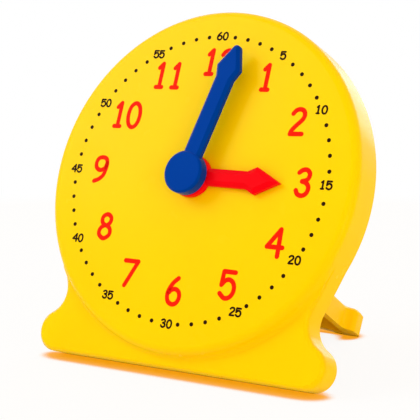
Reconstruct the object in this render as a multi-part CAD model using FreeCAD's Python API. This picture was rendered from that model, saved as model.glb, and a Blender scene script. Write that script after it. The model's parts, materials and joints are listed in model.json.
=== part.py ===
import FreeCAD, Part
import math
import os

# Geared teaching clock: a round dial on a two-lobed foot, leaning back on a fold-out stand.
# The body is drawn upright in its own axes (x right, y up, z out of the dial, origin at the
# dial centre on its face), then leaned back and set on the floor as it stands in use.
# All lengths are in millimetres and all angles in degrees.

# Stance and the time shown
lean = 19.4                      # how far the dial leans back from upright
stand_slope = 30.0               # how steeply the open stand runs down to the floor
hour_angle = 90.0                # the last full hour, three
minute_hand_angle = 15.0         # two and a half minutes past it
gear_ratio = 12                  # turns of the minute hand for one of the hour hand
quarter_turn = 90.0
half_turn = 180.0
full_turn = 360.0

# Dial and case
dial_radius = 50.9
dial_edge_round = 2.5
dial_edge_steps = 3              # narrow bevels that draw the rounded edge
body_depth = 12.0
dial_wall = 2.0
case_wall = 2.0
base_half_width = 48.2
base_drop = 54.7                 # dial centre to the underside of the base
base_step_share = 1 / 3          # base front behind the dial face, of the depth
base_edge_bevel = 1.2
lobe_radius = 6.15
neck_radius = 7.6
shoulder_angle = 20.0            # below level, the way the straight shoulders above the necks face
shoulder_bite = 0.15             # how far the shoulder's line crosses the dial wall
cove_radius = 1.5

# Back cover and what fastens it
cover_thickness = 2.0
cover_seat = 0.9                 # width of the ledge that carries the cover
cover_clearance = 0.1
upper_screw_angles = (45.0, 135.0)
upper_screw_inset = 8.9          # screw centre inside the dial's side wall
foot_screw_inset = 12.6          # screw centre inside the base's widest point
foot_screw_lift = 7.7            # screw centre above the underside of the base
boss_radius = 3.0
screw_radius = 1.1
screw_head_radius = 2.3
screw_head_height = 1.1
screw_bite_share = 0.425         # length of a screw in its boss, of the depth inside
screw_slack = 0.25               # radial play of a screw in its plain hole
hole_spare = 0.3                 # depth of a pilot hole past its screw
cross_slot_width = 0.7
cross_slot_depth = 0.6
cross_slot_share = 0.67          # slot length over the head's diameter

# Gear train
idler_to_wall = 4.15             # wheel of the idler to the dial's side wall
pressure_angle = 25.0
addendum_share = 0.8             # of the module
dedendum_share = 1.05            # of the module
backlash = 0.16                  # at the pitch circle, shared by the two gears of a pair
pinion_flank_steps = 2           # straight steps that draw an involute flank
wheel_flank_steps = 1            # a wheel's flank is nearly straight
minute_pinion_teeth = 10
idler_wheel_teeth = 30
idler_pinion_teeth = 10
hour_wheel_teeth = 40
gear_face_share = 0.225          # of the depth inside
plate_gap = 0.4                  # what the hour wheel's boss keeps open to the dial plate
end_play = 0.1
hour_boss_radius = 5.0
idler_hub_radius = 3.0

# Arbor, pipe and stud
arbor_radius = 1.75
arbor_step_radius = 1.5
arbor_flat = 0.45                # depth of the flat that drives hand and pinion
arbor_tail = 0.4                 # arbor past its clip
running_clearance = 0.05
pipe_wall = 1.2
pipe_flat = 0.35
stud_radius = 1.5
stud_seat = 1.0                  # depth of the stud's end in the dial plate

# Washers and clip
thrust_washer_radius = 3.4
thrust_washer_thickness = 0.3
friction_washer_radius = 3.4
friction_washer_thickness = 0.5
clip_radius = 3.0
clip_thickness = 0.4
clip_groove_depth = 0.4
clip_mouth_share = 0.85          # mouth over the groove's diameter

# Gear bridge
bridge_thickness_share = 0.1625  # of the depth inside
bridge_post_radius = 2.8
bridge_post_gap = 1.9            # post to the hour wheel's teeth
bridge_post_angles = (0.0, 180.0)
bridge_arm_half_width = 4.2
bridge_screw_radius = 0.9
bridge_screw_head_radius = 1.9
bridge_screw_head_height = 0.8
bridge_screw_bite_share = 0.4    # of the depth inside

# Hands
hand_gap = 0.5                   # dial face to hour hand, and hour hand to minute hand
hub_radius = 6.2
hub_bevel = 0.6
hour_hand_thickness = 2.3
hour_hand_half_width = 2.5
hour_hand_barb = 3.9
hour_hand_flare = 18.4           # distances along the hand from its axis
hour_hand_shoulder = 21.2
hour_hand_reach = 28.9
hour_hand_tip_radius = 0.0       # pointed
hour_hand_bevel_width = 1.3
hour_hand_bevel_height = 0.9
minute_hand_thickness = 2.2
minute_hand_lift = 0.8           # bar of the minute hand above the rear of its hub
minute_hand_half_width = 2.9
minute_hand_barb = 4.05
minute_hand_flare = 28.9
minute_hand_shoulder = 32.2
minute_hand_reach = 39.1
minute_hand_tip_radius = 1.3
minute_hand_bevel_width = 0.9
minute_hand_bevel_height = 0.8
minute_hub_rise = 0.4            # hub face above the bar
hub_skin = 1.0                   # closed front of the minute hand's hub

# Stand
hinge_drop = 16.9                # hinge axis below the dial centre
hinge_gap = 0.3                  # knuckle to cover
knuckle_radius = 3.75            # half the stand's thickness
stem_half_width = 21.2
foot_flare = 3.2                 # foot wider than the stem, on each side
foot_length = 5.8                # full-width end of the stand
foot_flare_radius = 2.5
foot_corner_radius = 3.0
stand_wall = 2.2
stand_top_wall = 2.4
stand_edge_bevel = 1.0
pocket_start = 6.5               # hinge axis to the hollow under the stand
foot_flat = 0.6                  # how much of the foot's lower corner the floor line trims
arch_inset = 4.9                 # end of the arch inside the foot's side
arch_height = 1.7
stop_gap = 0.05                  # open stand's heel to the cover
pin_radius = 1.25
ear_thickness = 3.2
ear_side_gap = 0.3
ear_foot_half_length = 6.5
pin_end_inset = 0.3

# General
hidden_sides = 8                 # bosses, screw shanks and their holes, which nobody sees
overrun = 2.0                    # how far a cutting tool runs past a face
touch = 0.2                      # how far a part drawn in pieces laps into itself
same_level = 0.001               # heights closer than this count as one

X = FreeCAD.Vector(1, 0, 0)
Y = FreeCAD.Vector(0, 1, 0)
Z = FreeCAD.Vector(0, 0, 1)
ORIGIN = FreeCAD.Vector(0, 0, 0)
SPACE_DIAGONAL = X + Y + Z
third_turn = 120.0               # about the space diagonal it carries x to y, y to z and z to x


def vec(x, y, z=0.0):
    return FreeCAD.Vector(x, y, z)


def polar(radius, angle, z=0.0):
    """Point at a radius and an angle measured from x."""
    a = math.radians(angle)
    return vec(radius * math.cos(a), radius * math.sin(a), z)


def mirrored(point):
    """The same point on the other side of the middle plane."""
    return vec(-point.x, point.y, point.z)


def cylinder(radius, z_low, z_high, x=0.0, y=0.0):
    return Part.makeCylinder(radius, z_high - z_low, vec(x, y, z_low), Z)


def prism(radius, z_low, z_high, x=0.0, y=0.0):
    """Round post or hole with few sides, for what nobody sees."""
    corners = [polar(radius, full_turn * k / hidden_sides) + vec(x, y) for k in range(hidden_sides)]
    return slab(polygon(corners), z_low, z_high)


def tube(outer, inner, z_low, z_high):
    hole = cylinder(inner, z_low - overrun, z_high + overrun)
    return cylinder(outer, z_low, z_high).cut(hole)


def block(x_low, x_high, y_low, y_high, z_low, z_high):
    return Part.makeBox(x_high - x_low, y_high - y_low, z_high - z_low, vec(x_low, y_low, z_low))


def line(a, b):
    return Part.LineSegment(a, b).toShape()


def arc(a, middle, b):
    return Part.Arc(a, middle, b).toShape()


def arc_about(centre, radius, start, end):
    """Arc about a centre from one angle to another, turning the way the angles run."""
    middle = (start + end) / 2
    return arc(centre + polar(radius, start), centre + polar(radius, middle), centre + polar(radius, end))


def lines_through(points):
    return [line(a, b) for a, b in zip(points, points[1:])]


def polygon(points):
    """Edges of a closed outline through its corners."""
    return lines_through(points + points[:1])


def angle_of(v):
    return math.degrees(math.atan2(v.y, v.x))


def slab(edges, z_low, z_high):
    """Solid between two heights with a closed outline drawn at z = 0."""
    face = Part.Face(Part.Wire(edges))
    face.translate(vec(0, 0, z_low))
    return face.extrude(vec(0, 0, z_high - z_low))


def revolved(edges):
    """Ring or disc from a closed outline in the xz plane, turned about z."""
    return Part.Face(Part.Wire(edges)).revolve(ORIGIN, Z, full_turn)


def edges_at(shape, z):
    """Edges of a shape that lie flat at one height."""
    found = []
    for edge in shape.Edges:
        box = edge.BoundBox
        if abs(box.ZMin - z) < same_level and abs(box.ZMax - z) < same_level:
            found.append(edge)
    return found


def single(shape):
    """The one solid of a shape, with its split faces joined."""
    clean = shape.removeSplitter()
    if len(clean.Solids) != 1:
        raise RuntimeError("expected one solid, found %d" % len(clean.Solids))
    return clean.Solids[0]


# What the depth inside leaves for gears, bridge and screws
depth_inside = body_depth - dial_wall - cover_thickness
gear_face = gear_face_share * depth_inside
bridge_thickness = bridge_thickness_share * depth_inside
screw_bite = screw_bite_share * depth_inside
bridge_screw_bite = bridge_screw_bite_share * depth_inside

# Levels through the depth, worked out from the front to the rear
base_step = base_step_share * body_depth
cover_front = -body_depth + cover_thickness
base_hollow_top = -(base_step + case_wall)
idler_front = -dial_wall - end_play
hour_level_high = idler_front - plate_gap
hour_level_low = hour_level_high - gear_face
minute_level_high = hour_level_low - end_play - thrust_washer_thickness
minute_level_low = minute_level_high - gear_face
bridge_front = minute_level_low - friction_washer_thickness
bridge_rear = bridge_front - bridge_thickness
clip_rear = bridge_rear - clip_thickness
arbor_end = clip_rear - arbor_tail
hour_hand_low = hand_gap
hour_hand_high = hour_hand_low + hour_hand_thickness
minute_hand_low = hour_hand_high + hand_gap
minute_bar_low = minute_hand_low + minute_hand_lift
minute_hand_high = minute_bar_low + minute_hand_thickness
minute_hub_high = minute_hand_high + minute_hub_rise
arbor_front = minute_hub_high - hub_skin

# Shafts, and where the gears sit: the idler is straight above the dial centre, and its
# wheel fills the room up to the dial's side wall
pipe_bore = arbor_radius + running_clearance
pipe_radius = pipe_bore + pipe_wall
dial_hole_radius = pipe_radius + running_clearance
minute_pair_teeth = minute_pinion_teeth + idler_wheel_teeth
wheel_tip_share = 2 * (idler_wheel_teeth / 2 + addendum_share) / minute_pair_teeth
centre_distance = (dial_radius - case_wall - idler_to_wall) / (1 + wheel_tip_share)
minute_module = 2 * centre_distance / minute_pair_teeth
hour_module = 2 * centre_distance / (idler_pinion_teeth + hour_wheel_teeth)
idler_centre = vec(0, centre_distance)
hour_wheel_tip = hour_module * (hour_wheel_teeth / 2 + addendum_share)
bridge_post_ring = hour_wheel_tip + bridge_post_gap + bridge_post_radius
hour_hand_angle = hour_angle + minute_hand_angle / gear_ratio

# Stand's hinge, how far it turns from folded flat against the cover to open, and its foot
hinge_z = -body_depth - hinge_gap - knuckle_radius
hinge_y = -hinge_drop
open_turn = quarter_turn + stand_slope - lean
foot_half_width = stem_half_width + foot_flare
arch_half_width = foot_half_width - arch_inset

# Centres of the base's two lobes
lobe_centre_x = base_half_width - lobe_radius
lobe_centre_y = -base_drop + lobe_radius


# Outline of the case


def neck_centre():
    """Centre of the right-hand neck, whose arc joins the shoulder's line to the lobe."""
    facing = polar(1, -shoulder_angle)
    lobe = vec(lobe_centre_x, lobe_centre_y)
    beyond = dial_radius - shoulder_bite + neck_radius - lobe.dot(facing)
    reach = lobe_radius + neck_radius
    return lobe + facing * beyond + vec(-facing.y, facing.x) * math.sqrt(reach ** 2 - beyond ** 2)


def right_foot(inset):
    """Shoulder line, neck arc and lobe arc of the right-hand side, drawn inside the case by an inset."""
    dial = dial_radius - inset
    neck = neck_radius + inset
    centre = neck_centre()
    lobe_centre = vec(lobe_centre_x, lobe_centre_y)
    crossing = math.degrees(math.acos((dial - shoulder_bite) / dial))
    top = polar(dial, -shoulder_angle - crossing)
    bend = centre - polar(neck, -shoulder_angle)
    joint = centre + (lobe_centre - centre) * (neck / (neck_radius + lobe_radius))
    shoulder = line(top, bend)
    neck_arc = arc_about(centre, neck, half_turn - shoulder_angle, angle_of(joint - centre) % full_turn)
    lobe_arc = arc_about(lobe_centre, lobe_radius - inset, angle_of(joint - lobe_centre), -quarter_turn)
    return top, [shoulder, neck_arc, lobe_arc]


def foot_edges(inset):
    """Edges of the base from the dial's right side round to its left, and the two ends."""
    top, right = right_foot(inset)
    left = [edge.mirror(ORIGIN, X) for edge in right]
    low = -base_drop + inset
    underside = line(vec(lobe_centre_x, low), vec(-lobe_centre_x, low))
    return right + [underside] + left[::-1], top, mirrored(top)


def case_outline(inset):
    """Closed outline of dial and base together, drawn inside the case's own by an inset."""
    edges, right, left = foot_edges(inset)
    over = arc(left, vec(0, dial_radius - inset), right)
    return joined(edges + [over])


def base_outline():
    """Closed outline of the base alone, its top hidden behind the dial."""
    edges, right, left = foot_edges(0.0)
    return joined(edges + [line(left, right)])


def joined(edges):
    """Edges of one closed outline put in order."""
    return Part.sortEdges(edges)[0]


def cover_screw_places():
    ring = dial_radius - upper_screw_inset
    places = [polar(ring, angle) for angle in upper_screw_angles]
    foot = vec(base_half_width - foot_screw_inset, -base_drop + foot_screw_lift)
    return places + [foot, mirrored(foot)]


def bridge_post_places():
    return [polar(bridge_post_ring, angle) for angle in bridge_post_angles]


# Front shell: dial, base, their hollow inside, bosses and posts


def dial_edge_points():
    """Corners of the dial's rounded front edge, from the face round to the side wall."""
    centre = vec(dial_radius - dial_edge_round, 0, -dial_edge_round)
    points = []
    for k in range(dial_edge_steps + 1):
        turn = math.radians(quarter_turn * k / dial_edge_steps)
        points.append(centre + vec(math.sin(turn), 0, math.cos(turn)) * dial_edge_round)
    return points


def dial_disc():
    rear = [vec(dial_radius, 0, -body_depth), vec(0, 0, -body_depth)]
    return revolved(polygon([ORIGIN] + dial_edge_points() + rear))


def base_block():
    solid = slab(base_outline(), -body_depth, -base_step)
    chord = foot_edges(0.0)[1].y
    rim = [edge for edge in edges_at(solid, -base_step) if abs(edge.CenterOfMass.y - chord) > touch]
    return solid.makeChamfer(base_edge_bevel, rim)


def cove_ring():
    """Soft hollow where the dial rises from the base."""
    foot = -base_step
    rim = dial_radius + cove_radius
    inner = dial_radius - case_wall
    middle = cove_radius - cove_radius * math.sin(math.radians(quarter_turn / 2))
    corners = [
        vec(rim, 0, foot),
        vec(dial_radius + middle, 0, foot + middle),
        vec(dial_radius, 0, foot + cove_radius),
        vec(inner, 0, foot + cove_radius),
        vec(inner, 0, foot - touch),
        vec(rim, 0, foot - touch),
    ]
    over_base = slab(base_outline(), -body_depth, 0.0)
    return revolved(polygon(corners)).common(over_base)


def boss_floor(place):
    """Height of the wall that a cover screw's boss stands on."""
    beyond_dial = place.Length + boss_radius > dial_radius - case_wall
    return base_hollow_top if beyond_dial else -dial_wall


def inside_pieces():
    """Bosses of the cover screws and posts of the gear bridge."""
    pieces = []
    for place in cover_screw_places():
        pieces.append(prism(boss_radius, cover_front, boss_floor(place) + touch, place.x, place.y))
    for place in bridge_post_places():
        pieces.append(prism(bridge_post_radius, bridge_front, -dial_wall + touch, place.x, place.y))
    return pieces


def inside_holes():
    """Pilot holes in bosses and posts, the stud's seat and the hole for the hour pipe."""
    holes = []
    for place in cover_screw_places():
        top = cover_front + screw_bite + hole_spare
        holes.append(prism(screw_radius, cover_front - overrun, top, place.x, place.y))
    for place in bridge_post_places():
        top = bridge_front + bridge_screw_bite + hole_spare
        holes.append(prism(bridge_screw_radius, bridge_front - overrun, top, place.x, place.y))
    holes.append(cylinder(stud_radius, cover_front, -dial_wall + stud_seat, idler_centre.x, idler_centre.y))
    holes.append(cylinder(dial_hole_radius, cover_front, overrun))
    return holes


def make_front_shell():
    shell = dial_disc().fuse([base_block(), cove_ring()])
    dial_hollow = cylinder(dial_radius - case_wall, -body_depth - overrun, -dial_wall)
    base_hollow = slab(case_outline(case_wall), -body_depth - overrun, base_hollow_top)
    rebate = slab(case_outline(case_wall - cover_seat), -body_depth - overrun, cover_front)
    shell = shell.cut(dial_hollow.fuse([base_hollow, rebate]))
    shell = shell.fuse(inside_pieces())
    return single(shell.cut(inside_holes()))


# Back cover with the ears of the stand's hinge


def ear(x_low, x_high):
    """One hinge ear, drawn as a tapered tab round the pin."""
    foot = body_depth - touch + hinge_z
    corner = vec(ear_foot_half_length, -foot)
    spread = math.degrees(math.acos(knuckle_radius / corner.Length))
    right = polar(knuckle_radius, angle_of(corner) - spread)
    edges = [
        line(mirrored(corner), corner),
        line(corner, right),
        arc(right, vec(0, -knuckle_radius), mirrored(right)),
        line(mirrored(right), mirrored(corner)),
    ]
    tab = slab(edges, x_low, x_high)
    tab.rotate(ORIGIN, SPACE_DIAGONAL, third_turn)
    tab.translate(vec(0, hinge_y, hinge_z))
    return tab


def ear_span():
    """Inner and outer face of the right-hand ear."""
    inner = stem_half_width + ear_side_gap
    return inner, inner + ear_thickness


def pin_cylinder(radius, x_low, x_high):
    return Part.makeCylinder(radius, x_high - x_low, vec(x_low, hinge_y, hinge_z), X)


def make_back_cover():
    inner, outer = ear_span()
    plate = slab(case_outline(case_wall - cover_seat + cover_clearance), -body_depth, cover_front)
    cover = plate.fuse([ear(inner, outer), ear(-outer, -inner)])
    holes = [pin_cylinder(pin_radius, -outer - overrun, outer + overrun)]
    for place in cover_screw_places():
        holes.append(prism(screw_radius + screw_slack, -body_depth - overrun, 0, place.x, place.y))
    return single(cover.cut(holes))


# Screws


def pan_screw(place, seat, head_radius, head_height, shank_radius, shank_length):
    """Screw driven from the rear, the underside of its head at the seat."""
    head = cylinder(head_radius, seat - head_height, seat, place.x, place.y)
    return head.fuse(prism(shank_radius, seat - touch, seat + shank_length, place.x, place.y))


def cross_slots(place, head_radius, head_low):
    """The two slots of a cross in a screw's head."""
    long_half = head_radius * cross_slot_share
    short_half = cross_slot_width / 2
    slots = []
    for dx, dy in ((long_half, short_half), (short_half, long_half)):
        slot = block(-dx, dx, -dy, dy, head_low - overrun, head_low + cross_slot_depth)
        slot.translate(place)
        slots.append(slot)
    return slots


def make_cover_screw(place):
    seat = -body_depth
    length = cover_thickness + screw_bite
    screw = pan_screw(place, seat, screw_head_radius, screw_head_height, screw_radius, length)
    return single(screw.cut(cross_slots(place, screw_head_radius, seat - screw_head_height)))


def make_bridge_screw(place):
    """Screw of the bridge, its head left plain because it is out of sight."""
    seat = bridge_rear
    length = bridge_thickness + bridge_screw_bite
    head_radius, head_height = bridge_screw_head_radius, bridge_screw_head_height
    return single(pan_screw(place, seat, head_radius, head_height, bridge_screw_radius, length))


# Gears with involute flanks


def involute(angle):
    """Involute of a pressure angle, in degrees."""
    a = math.radians(angle)
    return math.degrees(math.tan(a) - a)


def half_tooth_angle(teeth, module, radius):
    """Half the angle that one tooth takes up at a radius."""
    pitch = module * teeth / 2
    base = pitch * math.cos(math.radians(pressure_angle))
    flank_play = backlash / 4    # each gear of a pair gives up half of it, on two flanks
    at_pitch = quarter_turn / teeth - math.degrees(flank_play / pitch)
    at_base = at_pitch + involute(pressure_angle)
    if radius <= base:
        return at_base
    return at_base - involute(math.degrees(math.acos(base / radius)))


def tooth_flank(teeth, module, first_tooth, side, steps):
    """Points of one flank from root to tip: straight below the base circle, then on the involute."""
    tip = module * (teeth / 2 + addendum_share)
    root = module * (teeth / 2 - dedendum_share)
    start = max(root, module * teeth / 2 * math.cos(math.radians(pressure_angle)))
    radii = [root] if root < start else []
    radii += [start + (tip - start) * k / steps for k in range(steps + 1)]
    return [polar(r, first_tooth + side * half_tooth_angle(teeth, module, r)) for r in radii]


def gear_disc(teeth, module, first_tooth, steps, z_low, z_high):
    """Gear with one of its teeth centred on an angle."""
    points = []
    for k in range(teeth):
        middle = first_tooth + k * full_turn / teeth
        points += tooth_flank(teeth, module, middle, -1, steps)
        points += reversed(tooth_flank(teeth, module, middle, 1, steps))
    return slab(polygon(points), z_low, z_high)


def flat_cutter(radius, flat, z_low, z_high):
    """What a flat on one side of a shaft takes away, or leaves in its bore."""
    return block(radius - flat, radius + overrun, -radius - overrun, radius + overrun, z_low, z_high)


def shaft_with_flat(radius, flat, z_low, z_high):
    return cylinder(radius, z_low, z_high).cut(flat_cutter(radius, flat, z_low - overrun, z_high + overrun))


def pipe_seat(z_low, z_high):
    """End of the hour pipe, with the two flats that carry the hand across them."""
    seat = cylinder(pipe_radius, z_low, z_high)
    for turn in (0.0, half_turn):
        flat = flat_cutter(pipe_radius, pipe_flat, z_low - overrun, z_high + overrun)
        flat.rotate(ORIGIN, Z, turn)
        seat = seat.cut(flat)
    return seat


def make_minute_pinion():
    low, high = minute_level_low, minute_level_high
    pinion = gear_disc(minute_pinion_teeth, minute_module, quarter_turn, pinion_flank_steps, low, high)
    bore = shaft_with_flat(arbor_step_radius, arbor_flat, low - overrun, high + overrun)
    return single(pinion.cut(bore))


def make_idler_gear():
    """Wheel driven by the minute pinion and, in one piece with it, the pinion that drives the hour wheel."""
    down = -quarter_turn
    gap_down = down + half_turn / idler_wheel_teeth
    low, high = minute_level_low, minute_level_high
    wheel = gear_disc(idler_wheel_teeth, minute_module, gap_down, wheel_flank_steps, low, high)
    pinion = gear_disc(idler_pinion_teeth, hour_module, down, pinion_flank_steps, high - touch, idler_front)
    hub = cylinder(idler_hub_radius, bridge_front + end_play, low + touch)
    bore = cylinder(stud_radius + running_clearance, bridge_front, 0)
    gear = single(wheel.fuse([pinion, hub]).cut(bore))
    gear.translate(idler_centre)
    return gear


def make_hour_wheel():
    """Wheel, boss and the pipe that carries the hour hand in front of the dial."""
    gap_up = quarter_turn + half_turn / hour_wheel_teeth
    low, high = hour_level_low, hour_level_high
    wheel = gear_disc(hour_wheel_teeth, hour_module, gap_up, wheel_flank_steps, low, high)
    boss = cylinder(hour_boss_radius, high - touch, idler_front)
    pipe = cylinder(pipe_radius, high - touch, hour_hand_low)
    seat = turned_to(pipe_seat(hour_hand_low - touch, hour_hand_high), hour_hand_angle)
    bore = cylinder(pipe_bore, low - overrun, hour_hand_high + overrun)
    return single(wheel.fuse([boss, pipe, seat]).cut(bore))


# Shafts, washers and clip


def make_minute_arbor():
    front = shaft_with_flat(arbor_radius, arbor_flat, minute_hand_low - touch, arbor_front)
    middle = cylinder(arbor_radius, minute_level_high, minute_hand_low)
    drive = shaft_with_flat(arbor_step_radius, arbor_flat, minute_level_low, minute_level_high + touch)
    tail = cylinder(arbor_step_radius, arbor_end, minute_level_low)
    groove = tube(arbor_radius + overrun, arbor_step_radius - clip_groove_depth, clip_rear, bridge_rear)
    return single(turned_to(front, minute_hand_angle - quarter_turn).fuse([middle, drive, tail]).cut(groove))


def make_thrust_washer():
    """Flat washer on the minute pinion, which keeps it off the hour wheel."""
    high = minute_level_high + thrust_washer_thickness
    return single(tube(thrust_washer_radius, pipe_bore + running_clearance, minute_level_high, high))


def make_friction_washer():
    """Fibre washer whose drag keeps the hands where they are set."""
    bore = arbor_step_radius + 2 * running_clearance
    low = minute_level_low - friction_washer_thickness
    return single(tube(friction_washer_radius, bore, low, minute_level_low))


def make_arbor_clip():
    """Open clip in the arbor's groove, behind the bridge."""
    groove = arbor_step_radius - clip_groove_depth
    ring = tube(clip_radius, groove, clip_rear, bridge_rear)
    mouth = groove * clip_mouth_share
    gap = block(-mouth, mouth, 0, clip_radius + overrun, clip_rear - overrun, bridge_rear + overrun)
    return single(ring.cut(gap))


def make_idler_stud():
    return single(cylinder(stud_radius, bridge_rear, -dial_wall + stud_seat, idler_centre.x, idler_centre.y))


def make_gear_bridge():
    """Plate behind the train: two arms to its posts and one to the idler's stud."""
    half = bridge_arm_half_width
    reach = bridge_post_ring + half
    plate = block(-reach, reach, -half, half, bridge_rear, bridge_front)
    plate = plate.fuse(block(-half, half, 0, idler_centre.y + half, bridge_rear, bridge_front))
    holes = [
        cylinder(arbor_step_radius + running_clearance, cover_front, 0),
        cylinder(stud_radius, cover_front, 0, idler_centre.x, idler_centre.y),
    ]
    for place in bridge_post_places():
        holes.append(prism(bridge_screw_radius + screw_slack, cover_front, 0, place.x, place.y))
    return single(plate.cut(holes))


# Hands, drawn pointing up and turned to the time shown


def turned_to(shape, degrees_clockwise):
    shape.rotate(ORIGIN, Z, -degrees_clockwise)
    return shape


def hand_outline(half_width, barb, flare, shoulder, reach, tip_radius):
    """Bar, flare, barbs and rounded tip of a hand, from its axis outwards."""
    tip_centre = vec(0, reach - tip_radius)
    rise = tip_centre.y - shoulder
    edge_lean = math.degrees(math.atan2(barb, rise))
    narrowing = math.degrees(math.asin(tip_radius / math.hypot(barb, rise)))
    tip_side = tip_centre + polar(tip_radius, edge_lean - narrowing)
    right = [vec(half_width, 0), vec(half_width, flare), vec(barb, shoulder), tip_side]
    left = [mirrored(point) for point in reversed(right)]
    tip = [arc(tip_side, vec(0, reach), mirrored(tip_side))] if tip_radius > 0 else []
    return lines_through(right) + tip + lines_through(left + right[:1])


def hand_blank(outline, bevel_width, bevel_height, low, high, hub_low, hub_high):
    """Hand with sloping edges and a round hub, before its bore is cut."""
    bar = slab(outline, low, high)
    rim = [edge for edge in edges_at(bar, high) if edge.BoundBox.YMax > touch]
    hub = cylinder(hub_radius, hub_low, hub_high)
    hub = hub.makeChamfer(hub_bevel, edges_at(hub, hub_high))
    return bar.makeChamfer(bevel_height, bevel_width, rim).fuse(hub)


def make_hour_hand():
    outline = hand_outline(
        hour_hand_half_width,
        hour_hand_barb,
        hour_hand_flare,
        hour_hand_shoulder,
        hour_hand_reach,
        hour_hand_tip_radius,
    )
    hand = hand_blank(
        outline,
        hour_hand_bevel_width,
        hour_hand_bevel_height,
        hour_hand_low,
        hour_hand_high,
        hour_hand_low,
        hour_hand_high,
    )
    bore = pipe_seat(hour_hand_low - overrun, hour_hand_high + overrun)
    return turned_to(single(hand.cut(bore)), hour_hand_angle)


def make_minute_hand():
    outline = hand_outline(
        minute_hand_half_width,
        minute_hand_barb,
        minute_hand_flare,
        minute_hand_shoulder,
        minute_hand_reach,
        minute_hand_tip_radius,
    )
    hand = hand_blank(
        outline,
        minute_hand_bevel_width,
        minute_hand_bevel_height,
        minute_bar_low,
        minute_hand_high,
        minute_hand_low,
        minute_hub_high,
    )
    bore = shaft_with_flat(arbor_radius, arbor_flat, minute_hand_low - overrun, arbor_front)
    return turned_to(single(hand.cut(turned_to(bore, -quarter_turn))), minute_hand_angle)


# Stand, drawn folded: hinge axis along x through the origin, the stand running up y,
# its smooth side towards z, and then turned open


def stand_outline(length):
    """Stem widening to the foot through an S of two arcs, then rounded corners."""
    flare = foot_flare_radius
    corner = foot_corner_radius
    turn = math.degrees(math.acos(1 - (foot_half_width - stem_half_width) / (2 * flare)))
    flare_end = length - foot_length
    flare_start = flare_end - 2 * flare * math.sin(math.radians(turn))
    right = [
        line(vec(stem_half_width, 0), vec(stem_half_width, flare_start)),
        arc_about(vec(stem_half_width + flare, flare_start), flare, half_turn, half_turn - turn),
        arc_about(vec(foot_half_width - flare, flare_end), flare, -turn, 0.0),
        line(vec(foot_half_width, flare_end), vec(foot_half_width, length - corner)),
        arc_about(vec(foot_half_width - corner, length - corner), corner, 0.0, quarter_turn),
    ]
    left = [edge.mirror(ORIGIN, X) for edge in right]
    near = line(vec(stem_half_width, 0), vec(-stem_half_width, 0))
    far = line(vec(foot_half_width - corner, length), vec(corner - foot_half_width, length))
    return joined(right + left + [near, far])


def stand_length():
    """Hinge axis to the foot's end, so that the lower corner reaches just under the floor line."""
    slope = math.radians(stand_slope)
    hinge = body_to_floor(vec(0, hinge_y, hinge_z))
    drop = hinge.z + foot_flat - knuckle_radius * math.cos(slope)
    return drop / math.sin(slope)


def heel():
    """Corner of the knuckle that bears on the cover when the stand is open."""
    face = knuckle_radius + hinge_gap - stop_gap
    out = polar(1, open_turn + quarter_turn)
    along = polar(1, open_turn + half_turn)
    reach = (knuckle_radius + out.y * face) / -along.y
    corners = [ORIGIN, out * face, out * face + along * reach, vec(0, -knuckle_radius)]
    piece = slab(polygon(corners), -stem_half_width, stem_half_width)
    piece.rotate(ORIGIN, SPACE_DIAGONAL, third_turn)
    return piece


def arch_cutter(length):
    """Long low arch under the foot's end."""
    radius = (arch_half_width ** 2 + arch_height ** 2) / (2 * arch_height)
    axis = vec(0, length - foot_length, -knuckle_radius + arch_height - radius)
    return Part.makeCylinder(radius, foot_length + overrun, axis, Y)


def make_stand_folded():
    length = stand_length()
    plate = slab(stand_outline(length), -knuckle_radius, knuckle_radius)
    rim = [edge for edge in edges_at(plate, knuckle_radius) if edge.BoundBox.YMax > knuckle_radius]
    plate = plate.makeChamfer(stand_edge_bevel, rim)
    width = 2 * stem_half_width
    knuckle = Part.makeCylinder(knuckle_radius, width, vec(-stem_half_width, 0, 0), X)
    pocket_top = knuckle_radius - stand_top_wall
    pocket_half = stem_half_width - stand_wall
    pocket = block(
        -pocket_half, pocket_half, pocket_start, length - stand_wall, -knuckle_radius - overrun, pocket_top
    )
    bore_start = vec(-stem_half_width - overrun, 0, 0)
    bore = Part.makeCylinder(pin_radius + running_clearance, width + 2 * overrun, bore_start, X)
    return single(plate.fuse([knuckle, heel()]).cut([pocket, arch_cutter(length), bore]))


def make_stand():
    stand = make_stand_folded()
    stand.rotate(ORIGIN, X, -open_turn)
    stand.translate(vec(0, hinge_y, hinge_z))
    return stand


def make_hinge_pin():
    end = ear_span()[1] - pin_end_inset
    return single(pin_cylinder(pin_radius, -end, end))


# Standing pose: lean the body back, then set its lowest edge on the floor


def leaned(point):
    """Body point turned into upright axes (x right, y back, z up) about the dial centre."""
    a = math.radians(lean)
    back = point.y * math.sin(a) - point.z * math.cos(a)
    up = point.y * math.cos(a) + point.z * math.sin(a)
    return vec(point.x, back, up)


def floor_height():
    """Height of the dial centre above the floor: the rear edge of the underside rests on it."""
    return -leaned(vec(0, -base_drop, -body_depth)).z


def body_to_floor(point):
    """Body point in upright axes, heights measured from the floor."""
    return leaned(point) + vec(0, 0, floor_height())


def depth_middle():
    """Middle between the frontmost and the rearmost point, which the origin lies below."""
    front = min(leaned(vec(0, -point.x, point.z)).y for point in dial_edge_points())
    slope = math.radians(stand_slope)
    length = stand_length()
    corners = (
        (length, knuckle_radius - stand_edge_bevel),
        (length - stand_edge_bevel, knuckle_radius),
    )
    reach = max(along * math.cos(slope) + across * math.sin(slope) for along, across in corners)
    rear = leaned(vec(0, hinge_y, hinge_z)).y + reach
    return (front + rear) / 2


def stood_up(shape):
    shape.rotate(ORIGIN, X, quarter_turn - lean)
    shape.translate(vec(0, -depth_middle(), floor_height()))
    return shape


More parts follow.
